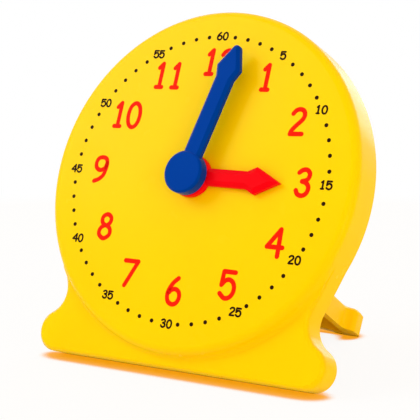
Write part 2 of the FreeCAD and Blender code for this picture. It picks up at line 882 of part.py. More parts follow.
def trimmed_to_floor(shape):
    """Foot cut flat where its lower corner would pass through the floor."""
    box = shape.BoundBox
    below = block(
        box.XMin - overrun, box.XMax + overrun, box.YMin - overrun, box.YMax + overrun, box.ZMin - overrun, 0
    )
    return single(shape.cut(below))


def all_parts():
    parts = {
        "front_shell": make_front_shell(),
        "back_cover": make_back_cover(),
        "stand": make_stand(),
        "stand_hinge_pin": make_hinge_pin(),
        "minute_hand": make_minute_hand(),
        "minute_arbor": make_minute_arbor(),
        "minute_pinion": make_minute_pinion(),
        "arbor_clip": make_arbor_clip(),
        "friction_washer": make_friction_washer(),
        "hour_hand": make_hour_hand(),
        "hour_wheel": make_hour_wheel(),
        "thrust_washer": make_thrust_washer(),
        "idler_gear": make_idler_gear(),
        "idler_stud": make_idler_stud(),
        "gear_bridge": make_gear_bridge(),
    }
    for number, place in enumerate(bridge_post_places(), 1):
        parts["bridge_screw_%d" % number] = make_bridge_screw(place)
    for number, place in enumerate(cover_screw_places(), 1):
        parts["cover_screw_%d" % number] = make_cover_screw(place)
    return parts


os.makedirs("parts", exist_ok=True)
for name, shape in all_parts().items():
    placed = stood_up(shape)
    if name == "stand":
        placed = trimmed_to_floor(placed)
    placed.exportStep("parts/%s.step" % name)

for label, place in (
    ("dial centre", ORIGIN),
    ("idler centre", idler_centre),
    ("hinge axis", vec(0, hinge_y, hinge_z)),
    ("underside middle", vec(0, -base_drop, -body_depth / 2)),
):
    stood = stood_up(Part.Vertex(place)).Point
    print(label, [round(value, 3) for value in stood])
print("stand length", round(stand_length(), 2), "opens through", round(open_turn, 2))
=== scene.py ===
import json
import math

import bmesh
import bpy
from bpy.props import FloatProperty, FloatVectorProperty, PointerProperty
from mathutils import Matrix, Vector


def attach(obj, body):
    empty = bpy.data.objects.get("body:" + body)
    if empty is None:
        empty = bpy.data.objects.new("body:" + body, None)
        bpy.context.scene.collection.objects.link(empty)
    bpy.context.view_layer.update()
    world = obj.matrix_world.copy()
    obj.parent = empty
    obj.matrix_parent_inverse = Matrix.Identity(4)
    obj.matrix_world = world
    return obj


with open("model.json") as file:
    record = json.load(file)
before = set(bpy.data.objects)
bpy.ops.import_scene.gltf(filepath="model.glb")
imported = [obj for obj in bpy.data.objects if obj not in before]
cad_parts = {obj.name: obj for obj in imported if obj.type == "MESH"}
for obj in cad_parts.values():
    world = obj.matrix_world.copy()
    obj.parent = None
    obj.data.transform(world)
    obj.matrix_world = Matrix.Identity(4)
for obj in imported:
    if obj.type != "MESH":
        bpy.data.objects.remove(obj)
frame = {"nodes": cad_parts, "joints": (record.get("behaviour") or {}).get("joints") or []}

# Geared teaching clock: its plastics and metals, the print on its dial and a small studio.
# All lengths are in metres. Places on the dial are given in the dial's own axes: x right,
# y up and z out of the face, from the centre of the dial.

bl_info = {
    "name": "Geared teaching clock",
    "version": (1, 0, 0),
    "blender": (4, 5, 0),
    "location": "View3D > Sidebar > Clock",
    "description": "Finishes a geared teaching clock and prints its dial",
    "category": "Object",
}

MM = 0.001
WHITE = (1.0, 1.0, 1.0)
JOIN_DISTANCE = 0.002 * MM       # corners of one part this close are one corner


def colour_property(name, description, default):
    return FloatVectorProperty(
        name=name, description=description, default=default, subtype="COLOR", size=3, min=0.0,
        max=1.0
    )


def length_property(name, description, default):
    return FloatProperty(
        name=name, description=description, default=default, subtype="DISTANCE", unit="LENGTH",
        min=0.0
    )


def share_property(name, description, default):
    return FloatProperty(
        name=name, description=description, default=default, subtype="FACTOR", min=0.0, max=1.0
    )


def power_property(name, description, default):
    return FloatProperty(
        name=name, description=description, default=default, subtype="POWER", unit="POWER",
        min=0.0
    )


class ClockPlastics(bpy.types.PropertyGroup):
    """Colours and gloss of the moulded and metal parts."""

    case: colour_property("Case", "Yellow of shell, cover and stand", (1.0, 0.67, 0.0))
    case_deep: colour_property(
        "Case, deep", "Yellow where the plastic runs a little darker", (1.0, 0.64, 0.0)
    )
    case_sheen: colour_property("Case, sheen", "Tint of the gloss on the yellow", (1.0, 0.8, 0.25))
    minute: colour_property("Minute hand", "Blue of the minute hand", (0.0, 0.043, 0.36))
    minute_deep: colour_property(
        "Minute hand, deep", "Darker blue of the minute hand", (0.0, 0.037, 0.32)
    )
    minute_sheen: colour_property(
        "Minute hand, sheen", "Tint of the gloss on the blue", (0.03, 0.35, 1.0)
    )
    hour: colour_property("Hour hand", "Red of the hour hand", (0.9, 0.001, 0.008))
    hour_deep: colour_property(
        "Hour hand, deep", "Darker red of the hour hand", (0.83, 0.001, 0.006)
    )
    hour_sheen: colour_property("Hour hand, sheen", "Tint of the gloss on the red", (1.0, 0.25, 0.2))
    gear: colour_property("Gears", "Off-white of the gears", (0.78, 0.77, 0.72))
    gear_deep: colour_property("Gears, deep", "Off-white, a little darker", (0.73, 0.72, 0.66))
    fibre: colour_property("Fibre", "Red-brown of the fibre washer", (0.22, 0.05, 0.03))
    steel: colour_property("Steel", "Bright zinc-plated steel", (0.62, 0.62, 0.6))
    roughness: share_property("Roughness", "Roughness of the polished plastic", 0.24)
    gear_roughness: share_property("Roughness of the gears", "Roughness of the gears", 0.34)
    shine: share_property("Shine", "How strongly the plastic mirrors light", 0.12)
    hand_shine: share_property("Shine of the hands", "How strongly the hands mirror light", 0.06)
    soft_light: share_property("Soft light", "Share of light that wanders in the yellow", 0.12)
    soft_depth: length_property("Soft depth", "How far light wanders in the yellow", 3.0 * MM)


class ClockPrint(bpy.types.PropertyGroup):
    """Inks and sizes of the dial's print."""

    ink: colour_property("Minute ink", "Dark brown of dots and minute numerals", (0.012, 0.002, 0.0))
    red_ink: colour_property("Hour ink", "Red of the hour numerals", (0.88, 0.008, 0.0))
    ink_sheen: colour_property("Ink, sheen", "Tint of the gloss on the ink", (1.0, 0.45, 0.15))
    ink_shine: share_property("Shine of the ink", "How strongly the ink mirrors light", 0.08)
    minute_ring: length_property("Ring of dots", "Radius of the ring of dots", 42.5 * MM)
    dot_radius: length_property("Dot", "Radius of one minute dot", 0.6 * MM)
    ink_height: length_property("Ink height", "How far the print stands out", 0.02 * MM)
    hour_pen: length_property("Hour pen", "Stroke width of the hour numerals", 1.36 * MM)
    minute_pen: length_property("Minute pen", "Stroke width of the minute numerals", 0.56 * MM)
    turn: FloatProperty(
        name="Turn", description="How far the print is turned clockwise on the dial",
        default=math.radians(1.13), subtype="ANGLE", unit="ROTATION"
    )


class ClockStudio(bpy.types.PropertyGroup):
    """Floor, lamps and camera."""

    floor: colour_property("Floor", "Colour of the floor", (0.93, 0.93, 0.93))
    # Painted shade: orange light that the floor gives off itself where the clock stands over it.
    painted_floor_shade: colour_property(
        "Floor glow", "Light that the yellow plastic throws on the floor", (1.0, 0.37, 0.0)
    )
    sky: share_property("Sky", "Strength of the even light from all round", 0.94)
    sky_colour: colour_property(
        "Sky colour", "Slightly warm colour of the even light", (1.0, 0.79, 0.62)
    )
    key: power_property("Key lamp", "Power of the lamp at the upper left", 2.8)
    key_colour: colour_property(
        "Key colour", "Cool colour of the lamps at the upper left and behind", (0.46, 0.84, 1.0)
    )
    side: power_property("Side lamp", "Power of the low lamp on the right", 1.1)
    side_colour: colour_property(
        "Side lamp colour", "Warm colour of the lamp on the right", (1.0, 0.88, 0.5)
    )
    rear: power_property("Rear lamp", "Power of the lamp behind the clock", 1.3)
    lens: FloatProperty(
        name="Lens", description="Focal length of the camera, in millimetres", default=100.03,
        subtype="DISTANCE_CAMERA", unit="CAMERA", min=1.0
    )


# The dial's own axes, from the joint of the minute hand


def dial_axes():
    """Matrix from the dial's axes to the row frame."""
    joint = next(j for j in frame["joints"] if j["name"] == "minute_turn")
    out = -Vector(joint["axis"]).normalized()
    right = Vector((1.0, 0.0, 0.0))
    up = out.cross(right)
    turned = Matrix((right, up, out)).transposed().to_4x4()
    return Matrix.Translation(Vector(joint["pos_m"])) @ turned


# Materials

NOISE_LEAST, NOISE_MOST = 0.3, 0.7  # nearly all values of a noise lie between these
SOFT_SPREAD = (1.0, 0.2, 0.03)      # how far red, green and blue wander, in soft depths


def node(tree, kind, **values):
    """New node with its properties and input values set."""
    made = tree.nodes.new(kind)
    for key, value in values.items():
        if key in made.inputs:
            made.inputs[key].default_value = value
        else:
            setattr(made, key, value)
    return made


def link(tree, source, output, target, name):
    tree.links.new(source.outputs[output], target.inputs[name])


def start_material(name):
    material = bpy.data.materials.new(name)
    material.use_nodes = True
    tree = material.node_tree
    shader = tree.nodes["Principled BSDF"]
    place = node(tree, "ShaderNodeTexCoord")
    return material, tree, shader, place


def shaded(colour, share, lift=0.0):
    """A colour made lighter or darker."""
    return tuple(min(1.0, c * share + lift) for c in colour)


def noise_on(tree, place, scale, detail=2.0):
    made = node(tree, "ShaderNodeTexNoise", Scale=scale, Detail=detail, Roughness=0.5)
    link(tree, place, "Object", made, "Vector")
    return made


def ranged(tree, source, low, high):
    """Noise spread over a range of values."""
    made = node(tree, "ShaderNodeMapRange")
    made.inputs["From Min"].default_value = NOISE_LEAST
    made.inputs["From Max"].default_value = NOISE_MOST
    made.inputs["To Min"].default_value = low
    made.inputs["To Max"].default_value = high
    link(tree, source, "Fac", made, "Value")
    return made


def mixed_colour(tree, source, colour, other):
    """Output socket of a mix of two colours, by the result of another node."""
    mix = node(tree, "ShaderNodeMix", data_type="RGBA")
    colours = [s for s in mix.inputs if s.type == "RGBA"]
    colours[0].default_value = (*colour, 1.0)
    colours[1].default_value = (*other, 1.0)
    link(tree, source, "Result", mix, "Factor")
    return next(s for s in mix.outputs if s.type == "RGBA")


def varied_colour(tree, place, shader, colour, deep, scale):
    """Base colour that drifts slowly between two close colours."""
    drift = ranged(tree, noise_on(tree, place, scale, detail=3.0), low=0.0, high=1.0)
    tree.links.new(mixed_colour(tree, drift, colour, deep), shader.inputs["Base Color"])


def uneven_gloss(tree, place, shader, scale, low, high, detail=2.0):
    """Roughness that wavers between two values."""
    gloss = ranged(tree, noise_on(tree, place, scale, detail), low, high)
    link(tree, gloss, "Result", shader, "Roughness")


def bumped(tree, source, shader, strength, distance):
    """Fine relief on the surface."""
    bump = node(tree, "ShaderNodeBump", Strength=strength, Distance=distance)
    link(tree, source, "Fac", bump, "Height")
    link(tree, bump, "Normal", shader, "Normal")


def moulded_plastic(name, colour, deep, roughness, shine, sheen=WHITE, soft_light=0.0):
    """Glossy injection-moulded plastic with the faint ripple of a polished mould."""
    material, tree, shader, place = start_material(name)
    varied_colour(tree, place, shader, colour, deep, scale=22.0)
    low, high = roughness - 0.03, roughness + 0.04
    uneven_gloss(tree, place, shader, scale=140.0, low=low, high=high, detail=3.0)
    ripple = noise_on(tree, place, scale=520.0, detail=1.0)
    bumped(tree, ripple, shader, strength=0.06, distance=0.05 * MM)
    shader.inputs["IOR"].default_value = 1.49
    shader.inputs["Specular IOR Level"].default_value = shine
    shader.inputs["Specular Tint"].default_value = (*sheen, 1.0)
    if soft_light > 0.0:
        shader.inputs["Subsurface Weight"].default_value = soft_light
        shader.inputs["Subsurface Radius"].default_value = SOFT_SPREAD
        depth = bpy.context.scene.clock_plastics.soft_depth
        shader.inputs["Subsurface Scale"].default_value = depth
    return material


def printed_ink(name, colour):
    """Pad-printed ink, a little rougher than the plastic, with a thin and uneven film."""
    material, tree, shader, place = start_material(name)
    thin = shaded(colour, share=1.35, lift=0.004)
    varied_colour(tree, place, shader, colour, thin, scale=900.0)
    uneven_gloss(tree, place, shader, scale=1500.0, low=0.38, high=0.5)
    film = noise_on(tree, place, scale=4000.0, detail=1.0)
    bumped(tree, film, shader, strength=0.1, distance=0.01 * MM)
    inks = bpy.context.scene.clock_print
    shader.inputs["Specular IOR Level"].default_value = inks.ink_shine
    shader.inputs["Specular Tint"].default_value = (*inks.ink_sheen, 1.0)
    return material


def plated_steel(name, colour):
    """Zinc-plated steel with fine turning marks."""
    material, tree, shader, place = start_material(name)
    darker = shaded(colour, share=0.86)
    varied_colour(tree, place, shader, colour, darker, scale=400.0)
    shader.inputs["Metallic"].default_value = 1.0
    uneven_gloss(tree, place, shader, scale=2500.0, low=0.22, high=0.42, detail=4.0)
    marks = noise_on(tree, place, scale=6000.0)
    bumped(tree, marks, shader, strength=0.12, distance=0.01 * MM)
    return material


def fibre_sheet(name, colour):
    """Vulcanised fibre: matt and faintly mottled."""
    material, tree, shader, place = start_material(name)
    lighter = shaded(colour, share=1.5)
    varied_colour(tree, place, shader, colour, lighter, scale=1800.0)
    uneven_gloss(tree, place, shader, scale=2400.0, low=0.62, high=0.78)
    weave = noise_on(tree, place, scale=5200.0, detail=4.0)
    bumped(tree, weave, shader, strength=0.3, distance=0.02 * MM)
    return material


# Soft shading and fine rounding of the parts' edges

FLAT_ANGLE = math.radians(0.6)      # faces that meet flatter than this are one face
SHARP_ANGLE = math.radians(24.0)    # edges sharper than this are rounded
ROUNDING_STEPS = 3
WIDE_ANGLE = math.radians(50.0)     # shading runs smoothly over edges up to these angles
HOUR_HAND_ANGLE = math.radians(20.0)
SMALL_PART_ANGLE = math.radians(30.0)
MINUTE_HAND_ROUNDING = 0.3 * MM
HOUR_HAND_ROUNDING = 0.12 * MM


def shading_group():
    """Node group that joins a part's faces and shades it smoothly across gentle angles."""
    name = "clock_soft_shading"
    if name in bpy.data.node_groups:
        return bpy.data.node_groups[name]
    group = bpy.data.node_groups.new(name, "GeometryNodeTree")
    group.interface.new_socket("Geometry", in_out="INPUT", socket_type="NodeSocketGeometry")
    group.interface.new_socket("Angle", in_out="INPUT", socket_type="NodeSocketFloat")
    group.interface.new_socket("Geometry", in_out="OUTPUT", socket_type="NodeSocketGeometry")
    start = group.nodes.new("NodeGroupInput")
    end = group.nodes.new("NodeGroupOutput")
    plain = group.nodes.new("GeometryNodeRemoveAttribute")
    plain.inputs["Name"].default_value = "custom_normal"
    merge = group.nodes.new("GeometryNodeMergeByDistance")
    merge.inputs["Distance"].default_value = JOIN_DISTANCE
    faces = group.nodes.new("GeometryNodeSetShadeSmooth")
    faces.domain = "FACE"
    edges = group.nodes.new("GeometryNodeSetShadeSmooth")
    edges.domain = "EDGE"
    angle = group.nodes.new("GeometryNodeInputMeshEdgeAngle")
    gentle = group.nodes.new("FunctionNodeCompare")
    gentle.data_type = "FLOAT"
    gentle.operation = "LESS_EQUAL"
    new = group.links.new
    new(start.outputs[0], plain.inputs[0])
    new(plain.outputs[0], merge.inputs["Geometry"])
    new(merge.outputs["Geometry"], faces.inputs[0])
    new(faces.outputs[0], edges.inputs[0])
    new(angle.outputs["Unsigned Angle"], gentle.inputs["A"])
    new(start.outputs[1], gentle.inputs["B"])
    new(gentle.outputs["Result"], edges.inputs["Shade Smooth"])
    new(edges.outputs[0], end.inputs[0])
    return group


def soften(part, angle, rounding):
    """Smooth shading up to an angle and, where asked, a small true radius on the sharp edges."""
    if rounding > 0.0:
        weld = part.modifiers.new("join_faces", "WELD")
        weld.merge_threshold = JOIN_DISTANCE
        flat = part.modifiers.new("plain_faces", "DECIMATE")
        flat.decimate_type = "DISSOLVE"
        flat.angle_limit = FLAT_ANGLE
        edge = part.modifiers.new("edge_rounding", "BEVEL")
        edge.width = rounding
        edge.segments = ROUNDING_STEPS
        edge.limit_method = "ANGLE"
        edge.angle_limit = SHARP_ANGLE
        edge.use_clamp_overlap = True
    smooth = part.modifiers.new("soft_shading", "NODES")
    smooth.node_group = shading_group()
    angle_socket = next(
        item.identifier for item in smooth.node_group.interface.items_tree if item.name == "Angle"
    )
    smooth[angle_socket] = angle
    even = part.modifiers.new("even_normals", "WEIGHTED_NORMAL")
    even.keep_sharp = True


def finish_part(name, material, angle, rounding=0.0):
    """Gives a part of the frame its material and shading."""
    part = frame["nodes"][name]
    part.data.materials.clear()
    part.data.materials.append(material)
    soften(part, angle, rounding)


# Rounded numerals, drawn as pen strokes on a cell with its middle at 0, 0. Each stroke is
# a list of points that a smooth line runs through; a stroke that closes repeats its start.

STROKES = {
    "0": [[(0.0, 3.85), (1.55, 2.75), (2.15, 0.0), (1.55, -2.75), (0.0, -3.85), (-1.55, -2.75),
           (-2.15, 0.0), (-1.55, 2.75), (0.0, 3.85)]],
    "1": [[(0.33, 3.75), (0.2, -3.7)], [(0.33, 3.75), (-0.9, 2.4)],
          [(-1.05, -3.75), (1.12, -3.75)]],
    "2": [[(-1.85, 2.35), (-1.1, 3.3), (0.1, 3.72), (1.35, 3.3), (1.85, 2.1), (1.35, 0.65),
           (-0.3, -1.1), (-1.5, -2.6), (-1.85, -3.65)], [(-1.85, -3.65), (1.85, -3.5)]],
    "3": [[(-1.72, 2.85), (-0.7, 3.62), (0.65, 3.7), (1.62, 2.6), (1.15, 1.0), (-0.45, 0.38)],
          [(-0.45, 0.38), (1.05, -0.1), (1.85, -1.35), (1.4, -3.0), (0.1, -3.72), (-1.25, -3.3),
           (-1.88, -2.3)]],
    "4": [[(1.14, 3.85), (-2.45, -1.3)], [(-2.45, -1.3), (2.45, -1.25)],
          [(1.14, 3.85), (1.3, -3.85)]],
    "5": [[(-1.9, 3.75), (1.85, 3.75)], [(-1.9, 3.75), (-2.05, -0.15)],
          [(-2.05, -0.15), (-1.0, 1.15), (0.3, 1.55), (1.65, 0.75), (2.2, -0.8), (1.95, -2.4),
           (0.85, -3.58), (-0.6, -3.75), (-2.15, -2.6)]],
    "6": [[(0.75, 3.85), (-0.65, 2.5), (-1.75, 0.55), (-2.1, -1.3), (-1.55, -3.05),
           (-0.05, -3.85), (1.4, -3.3), (2.05, -1.75), (1.65, -0.15), (0.45, 0.6), (-0.85, 0.35),
           (-1.75, -0.6)]],
    "7": [[(-2.3, 3.65), (2.35, 3.7)], [(2.35, 3.7), (-1.1, -3.75)]],
    "8": [[(0.05, 0.3), (-1.45, 1.25), (-1.5, 2.85), (0.0, 3.75), (1.5, 2.85), (1.45, 1.25),
           (0.05, 0.3)],
          [(0.05, 0.3), (-1.65, -0.65), (-1.9, -2.5), (0.0, -3.75), (1.9, -2.5), (1.75, -0.65),
           (0.05, 0.3)]],
    "9": [[(1.9, 2.0), (1.35, 0.5), (-0.2, -0.25), (-1.75, 0.5), (-2.15, 2.0), (-1.55, 3.4),
           (-0.1, 3.85), (1.35, 3.45), (1.95, 2.1), (1.85, 0.1), (1.25, -1.85), (-0.1, -3.1),
           (-1.75, -3.8)]],
}
LINE_STEPS = 7                      # straight pieces between two points of a stroke
END_STEPS = 6                       # straight pieces round the end of a stroke
STROKE_LIFT = 0.25                  # so much thicker is each later stroke, so no tops coincide


def smooth_line(points):
    """Points close together on a smooth line through a stroke's points."""
    if len(points) < 3:
        return [Vector(p) for p in points]
    corners = [Vector(p) for p in points]
    closed = (corners[0] - corners[-1]).length < 1e-6
    before = corners[-2] if closed else corners[0] * 2 - corners[1]
    after = corners[1] if closed else corners[-1] * 2 - corners[-2]
    run = [before] + corners + [after]
    line = []
    for a, b, c, d in zip(run, run[1:], run[2:], run[3:]):
        for k in range(LINE_STEPS):
            t = k / LINE_STEPS
            bend = (2 * a - 5 * b + 4 * c - d) * t * t
            line.append(0.5 * (2 * b + (c - a) * t + bend + (3 * b - a - 3 * c + d) * t ** 3))
    return line if closed else line + [corners[-1]]


def pen_outline(line, half, closed):
    """Left and right side of a pen drawn along a line."""
    count = len(line)
    left, right = [], []
    for k, point in enumerate(line):
        back = line[(k - 1) % count] if closed or k > 0 else point
        ahead = line[(k + 1) % count] if closed or k < count - 1 else point
        way = (ahead - back).normalized()
        side = Vector((-way.y, way.x)) * half
        left.append(point + side)
        right.append(point - side)
    return left, right


def round_end(point, way, half):
    """Points of a half circle that closes a pen stroke, from its left side to its right."""
    first = math.atan2(way.y, way.x) + math.pi / 2
    turns = [first - math.pi * k / END_STEPS for k in range(1, END_STEPS)]
    return [point + Vector((math.cos(turn), math.sin(turn))) * half for turn in turns]


def add_film(mesh, faces, low, high):
    """Thin closed slab of ink over flat faces given by their corners."""
    def height(z):
        known = {}

        def corner(point):
            key = (round(point.x, 9), round(point.y, 9))
            if key not in known:
                known[key] = mesh.verts.new((point.x, point.y, z))
            return known[key]

        return corner

    top, bottom = height(high), height(low)
    edges = {}
    for face in faces:
        above = [top(p) for p in face]
        below = [bottom(p) for p in face]
        mesh.faces.new(above)
        mesh.faces.new(below[::-1])
        for a, b, c, d in zip(above, above[1:] + above[:1], below, below[1:] + below[:1]):
            if (b, a) in edges:
                del edges[(b, a)]
            else:
                edges[(a, b)] = (c, d)
    for (a, b), (c, d) in edges.items():
        mesh.faces.new((b, a, c, d))


def add_stroke(mesh, points, centre, scale, pen, low, high):
    """One pen stroke of a numeral as a film of ink."""
    sized = [Vector((p[0] * scale[0], p[1] * scale[1])) for p in points]
    closed = (sized[0] - sized[-1]).length < 1e-9
    line = [centre + p for p in smooth_line(sized)]
    half = pen / 2
    left, right = pen_outline(line, half, closed)
    around = list(zip(left, right))
    faces = [[b, d, c, a] for (a, b), (c, d) in zip(around, around[1:])]
    if closed:
        (a, b), (c, d) = around[-1], around[0]
        faces.append([b, d, c, a])
    else:
        faces.append([right[-1]] + round_end(line[-1], line[-1] - line[-2], half)[::-1] + [left[-1]])
        faces.append([left[0]] + round_end(line[0], line[0] - line[1], half)[::-1] + [right[0]])
    add_film(mesh, faces, low, high)


def add_numeral(mesh, text, centre, scale, pen, advance, ink_height):
    """Digits of one number beside each other, centred on a place."""
    low = -ink_height
    for place, digit in enumerate(text):
        middle = centre + Vector(((place - (len(text) - 1) / 2) * advance, 0.0))
        for order, stroke in enumerate(STROKES[digit]):
            lift = ink_height * (1.0 + STROKE_LIFT * order)
            add_stroke(mesh, stroke, middle, scale, pen, low, lift)


def print_piece(name, mesh, material):
    """Printed piece on the dial's face, riding on the case."""
    bmesh.ops.recalc_face_normals(mesh, faces=mesh.faces)
    data = bpy.data.meshes.new(name)
    mesh.to_mesh(data)
    mesh.free()
    data.materials.append(material)
    piece = bpy.data.objects.new(name, data)
    bpy.context.scene.collection.objects.link(piece)
    turn = bpy.context.scene.clock_print.turn
    piece.matrix_world = dial_axes() @ Matrix.Rotation(-turn, 4, "Z")
    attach(piece, "case")


def ring_place(radius, turn_clockwise):
    """Place on a circle round the dial's centre, from the top."""
    return Vector((radius * math.sin(turn_clockwise), radius * math.cos(turn_clockwise)))


# Centres of the numerals on the dial, in millimetres, with the spacing and scale of their
# digits, and how many sides a dot has

HOUR_PLACES = {
    "1": (17.36, 30.45), "2": (29.98, 17.85), "3": (35.1, 0.86), "4": (30.1, -16.26),
    "5": (17.93, -29.4), "6": (1.05, -33.15), "7": (-15.3, -29.8), "8": (-27.4, -16.95),
    "9": (-33.6, 0.17), "10": (-28.4, 17.55), "11": (-16.16, 30.28), "12": (0.5, 34.7),
}
MINUTE_PLACES = {
    "5": (21.4, 37.0), "10": (36.5, 21.6), "15": (42.0, 0.7), "20": (36.8, -20.4),
    "25": (21.9, -36.4), "30": (0.6, -42.5), "35": (-21.4, -36.9), "40": (-36.6, -21.3),
    "45": (-42.7, -0.1), "50": (-37.0, 21.0), "55": (-21.1, 36.9), "60": (0.1, 42.7),
}
HOUR_ADVANCE = 5.6 * MM
MINUTE_ADVANCE = 2.0 * MM
MINUTE_SCALE = (0.34 * MM, 0.29 * MM)
HOUR_SCALE = (0.975 * MM, 0.975 * MM)
DOT_SIDES = 24


class CLOCK_OT_case(bpy.types.Operator):
    """Yellow plastic of the front shell, the back cover and the stand"""

    bl_idname = "clock.case"
    bl_label = "Finish case and stand"

    def execute(self, context):
        plastics = context.scene.clock_plastics
        material = moulded_plastic(
            "yellow_plastic", plastics.case, plastics.case_deep, plastics.roughness,
            plastics.shine, plastics.case_sheen, plastics.soft_light
        )
        for name in ("front_shell", "back_cover", "stand"):
            finish_part(name, material, WIDE_ANGLE)
        return {"FINISHED"}


class CLOCK_OT_hands(bpy.types.Operator):
    """Blue plastic of the minute hand and red plastic of the hour hand"""

    bl_idname = "clock.hands"
    bl_label = "Finish hands"

    def execute(self, context):
        plastics = context.scene.clock_plastics
        blue = moulded_plastic(
            "blue_plastic", plastics.minute, plastics.minute_deep, plastics.roughness,
            plastics.hand_shine, plastics.minute_sheen
        )
        red = moulded_plastic(
            "red_plastic", plastics.hour, plastics.hour_deep, plastics.roughness,
            plastics.hand_shine, plastics.hour_sheen
        )
        finish_part("minute_hand", blue, WIDE_ANGLE, MINUTE_HAND_ROUNDING)
        finish_part("hour_hand", red, HOUR_HAND_ANGLE, HOUR_HAND_ROUNDING)
        return {"FINISHED"}


class CLOCK_OT_gears(bpy.types.Operator):
    """Off-white plastic of the gears and fibre of the friction washer"""

    bl_idname = "clock.gears"
    bl_label = "Finish gear train"

    def execute(self, context):
        plastics = context.scene.clock_plastics
        white = moulded_plastic(
            "white_plastic", plastics.gear, plastics.gear_deep, plastics.gear_roughness,
            plastics.shine
        )
        for name in ("minute_pinion", "idler_gear", "hour_wheel"):
            finish_part(name, white, SMALL_PART_ANGLE)
        finish_part("friction_washer", fibre_sheet("fibre", plastics.fibre), SMALL_PART_ANGLE)
        return {"FINISHED"}


class CLOCK_OT_metal(bpy.types.Operator):
    """Plated steel of the shafts, bridge, screws, clip and washer"""

    bl_idname = "clock.metal"
    bl_label = "Finish metal parts"

    def execute(self, context):
        steel = plated_steel("plated_steel", context.scene.clock_plastics.steel)
        names = [
            "minute_arbor", "arbor_clip", "thrust_washer", "idler_stud", "gear_bridge",
            "stand_hinge_pin"
        ]
        names += sorted(n for n in frame["nodes"] if "_screw_" in n)
        for name in names:
            finish_part(name, steel, SMALL_PART_ANGLE)
        return {"FINISHED"}


class CLOCK_OT_dots(bpy.types.Operator):
    """Ring of minute dots, left out where a minute numeral stands"""

    bl_idname = "clock.dots"
    bl_label = "Print minute dots"

    def execute(self, context):
        sizes = context.scene.clock_print
        mesh = bmesh.new()
        for minute in range(60):
            if minute % 5 == 0:
                continue
            centre = ring_place(sizes.minute_ring, math.radians(6.0 * minute))
            turns = [-2 * math.pi * k / DOT_SIDES for k in range(DOT_SIDES)]
            disc = [centre + ring_place(sizes.dot_radius, turn) for turn in turns]
            add_film(mesh, [disc], -sizes.ink_height, sizes.ink_height)
        print_piece("minute_dots", mesh, printed_ink("minute_ink", sizes.ink))
        return {"FINISHED"}


class CLOCK_OT_minute_numerals(bpy.types.Operator):
    """Small numerals 5 to 60 on the ring of dots"""

    bl_idname = "clock.minute_numerals"
    bl_label = "Print minute numerals"

    def execute(self, context):
        sizes = context.scene.clock_print
        ink = bpy.data.materials["minute_ink"]
        pen, height = sizes.minute_pen, sizes.ink_height
        mesh = bmesh.new()
        for text, place in MINUTE_PLACES.items():
            centre = Vector(place) * MM
            add_numeral(mesh, text, centre, MINUTE_SCALE, pen, MINUTE_ADVANCE, height)
        print_piece("minute_numerals", mesh, ink)
        return {"FINISHED"}


class CLOCK_OT_hour_numerals(bpy.types.Operator):
    """Large red numerals 1 to 12"""

    bl_idname = "clock.hour_numerals"
    bl_label = "Print hour numerals"

    def execute(self, context):
        sizes = context.scene.clock_print
        pen, height = sizes.hour_pen, sizes.ink_height
        mesh = bmesh.new()
        for text, place in HOUR_PLACES.items():
            centre = Vector(place) * MM
            add_numeral(mesh, text, centre, HOUR_SCALE, pen, HOUR_ADVANCE, height)
        print_piece("hour_numerals", mesh, printed_ink("hour_ink", sizes.red_ink))
        return {"FINISHED"}


# Studio: where camera and lamps stand, what they look at and how wide the lamps are

CAMERA_PLACE = (0.18098, -0.30386, 0.08533)
CAMERA_WAY = (-0.52885, 0.84061, -0.11702)
SENSOR_WIDTH = 36.0                 # in millimetres
NEAREST_SEEN = 10.0 * MM
CLOCK_MIDDLE = (0.0, -0.02, 0.055)
KEY_PLACE, KEY_SIZE = (-0.55, -0.5, 0.6), 0.5
SIDE_PLACE, SIDE_SIZE = (0.55, -0.36, 0.07), 0.35
REAR_PLACE, REAR_SIZE = (0.045, 0.943, 0.325), 0.5

# Floor: how the close shade of the clock is told from the open table. Cover runs from 0 where
# the floor is closed in to 1 in the open, and is told by what stands within reach. Where the
# floor is closed in, it gets a painted orange shade.

FLOOR_HALF = 3.0
SHADE_REACH = 5.5 * MM
SHADE_COVER, OPEN_COVER = 0.45, 0.8
# Under the clock the floor's own light is a painted orange shade; in the open it is plain white.
PAINTED_SHADE_SHARE, OPEN_GLOW = 0.85, 0.9   # how much of the camera's view is the floor's own light
FADE_START, FADE_END = 0.1, 0.5     # distances over which the table turns to plain white


def lamp(name, place, size, power, colour):
    """Round soft lamp that looks at the clock."""
    data = bpy.data.lights.new(name, "AREA")
    data.shape = "DISK"
    data.size = size
    data.energy = power
    data.color = colour
    made = bpy.data.objects.new(name, data)
    made.location = place
    way = Vector(CLOCK_MIDDLE) - Vector(place)
    made.rotation_euler = way.to_track_quat("-Z", "Y").to_euler()
    made.visible_camera = False
    bpy.context.scene.collection.objects.link(made)


def pale_world(strength, colour):
    """Even light from all round, and white where the camera or a reflection looks at it."""
    world = bpy.data.worlds.new("clock_studio")
    bpy.context.scene.world = world
    world.use_nodes = True
    tree = world.node_tree
    tree.nodes.clear()
    light = node(tree, "ShaderNodeBackground", Strength=strength)
    light.inputs["Color"].default_value = (*colour, 1.0)
    seen = node(tree, "ShaderNodeBackground", Strength=1.0)
    seen.inputs["Color"].default_value = (*WHITE, 1.0)
    path = node(tree, "ShaderNodeLightPath")
    either = node(tree, "ShaderNodeMath", operation="MAXIMUM")
    every = node(tree, "ShaderNodeMath", operation="MAXIMUM")
    mix = node(tree, "ShaderNodeMixShader")
    out = node(tree, "ShaderNodeOutputWorld")
    new = tree.links.new
    new(path.outputs["Is Camera Ray"], either.inputs[0])
    new(path.outputs["Is Glossy Ray"], either.inputs[1])
    new(either.outputs[0], every.inputs[0])
    new(path.outputs["Is Transmission Ray"], every.inputs[1])
    new(every.outputs[0], mix.inputs[0])
    new(light.outputs[0], mix.inputs[1])
    new(seen.outputs[0], mix.inputs[2])
    new(mix.outputs[0], out.inputs["Surface"])


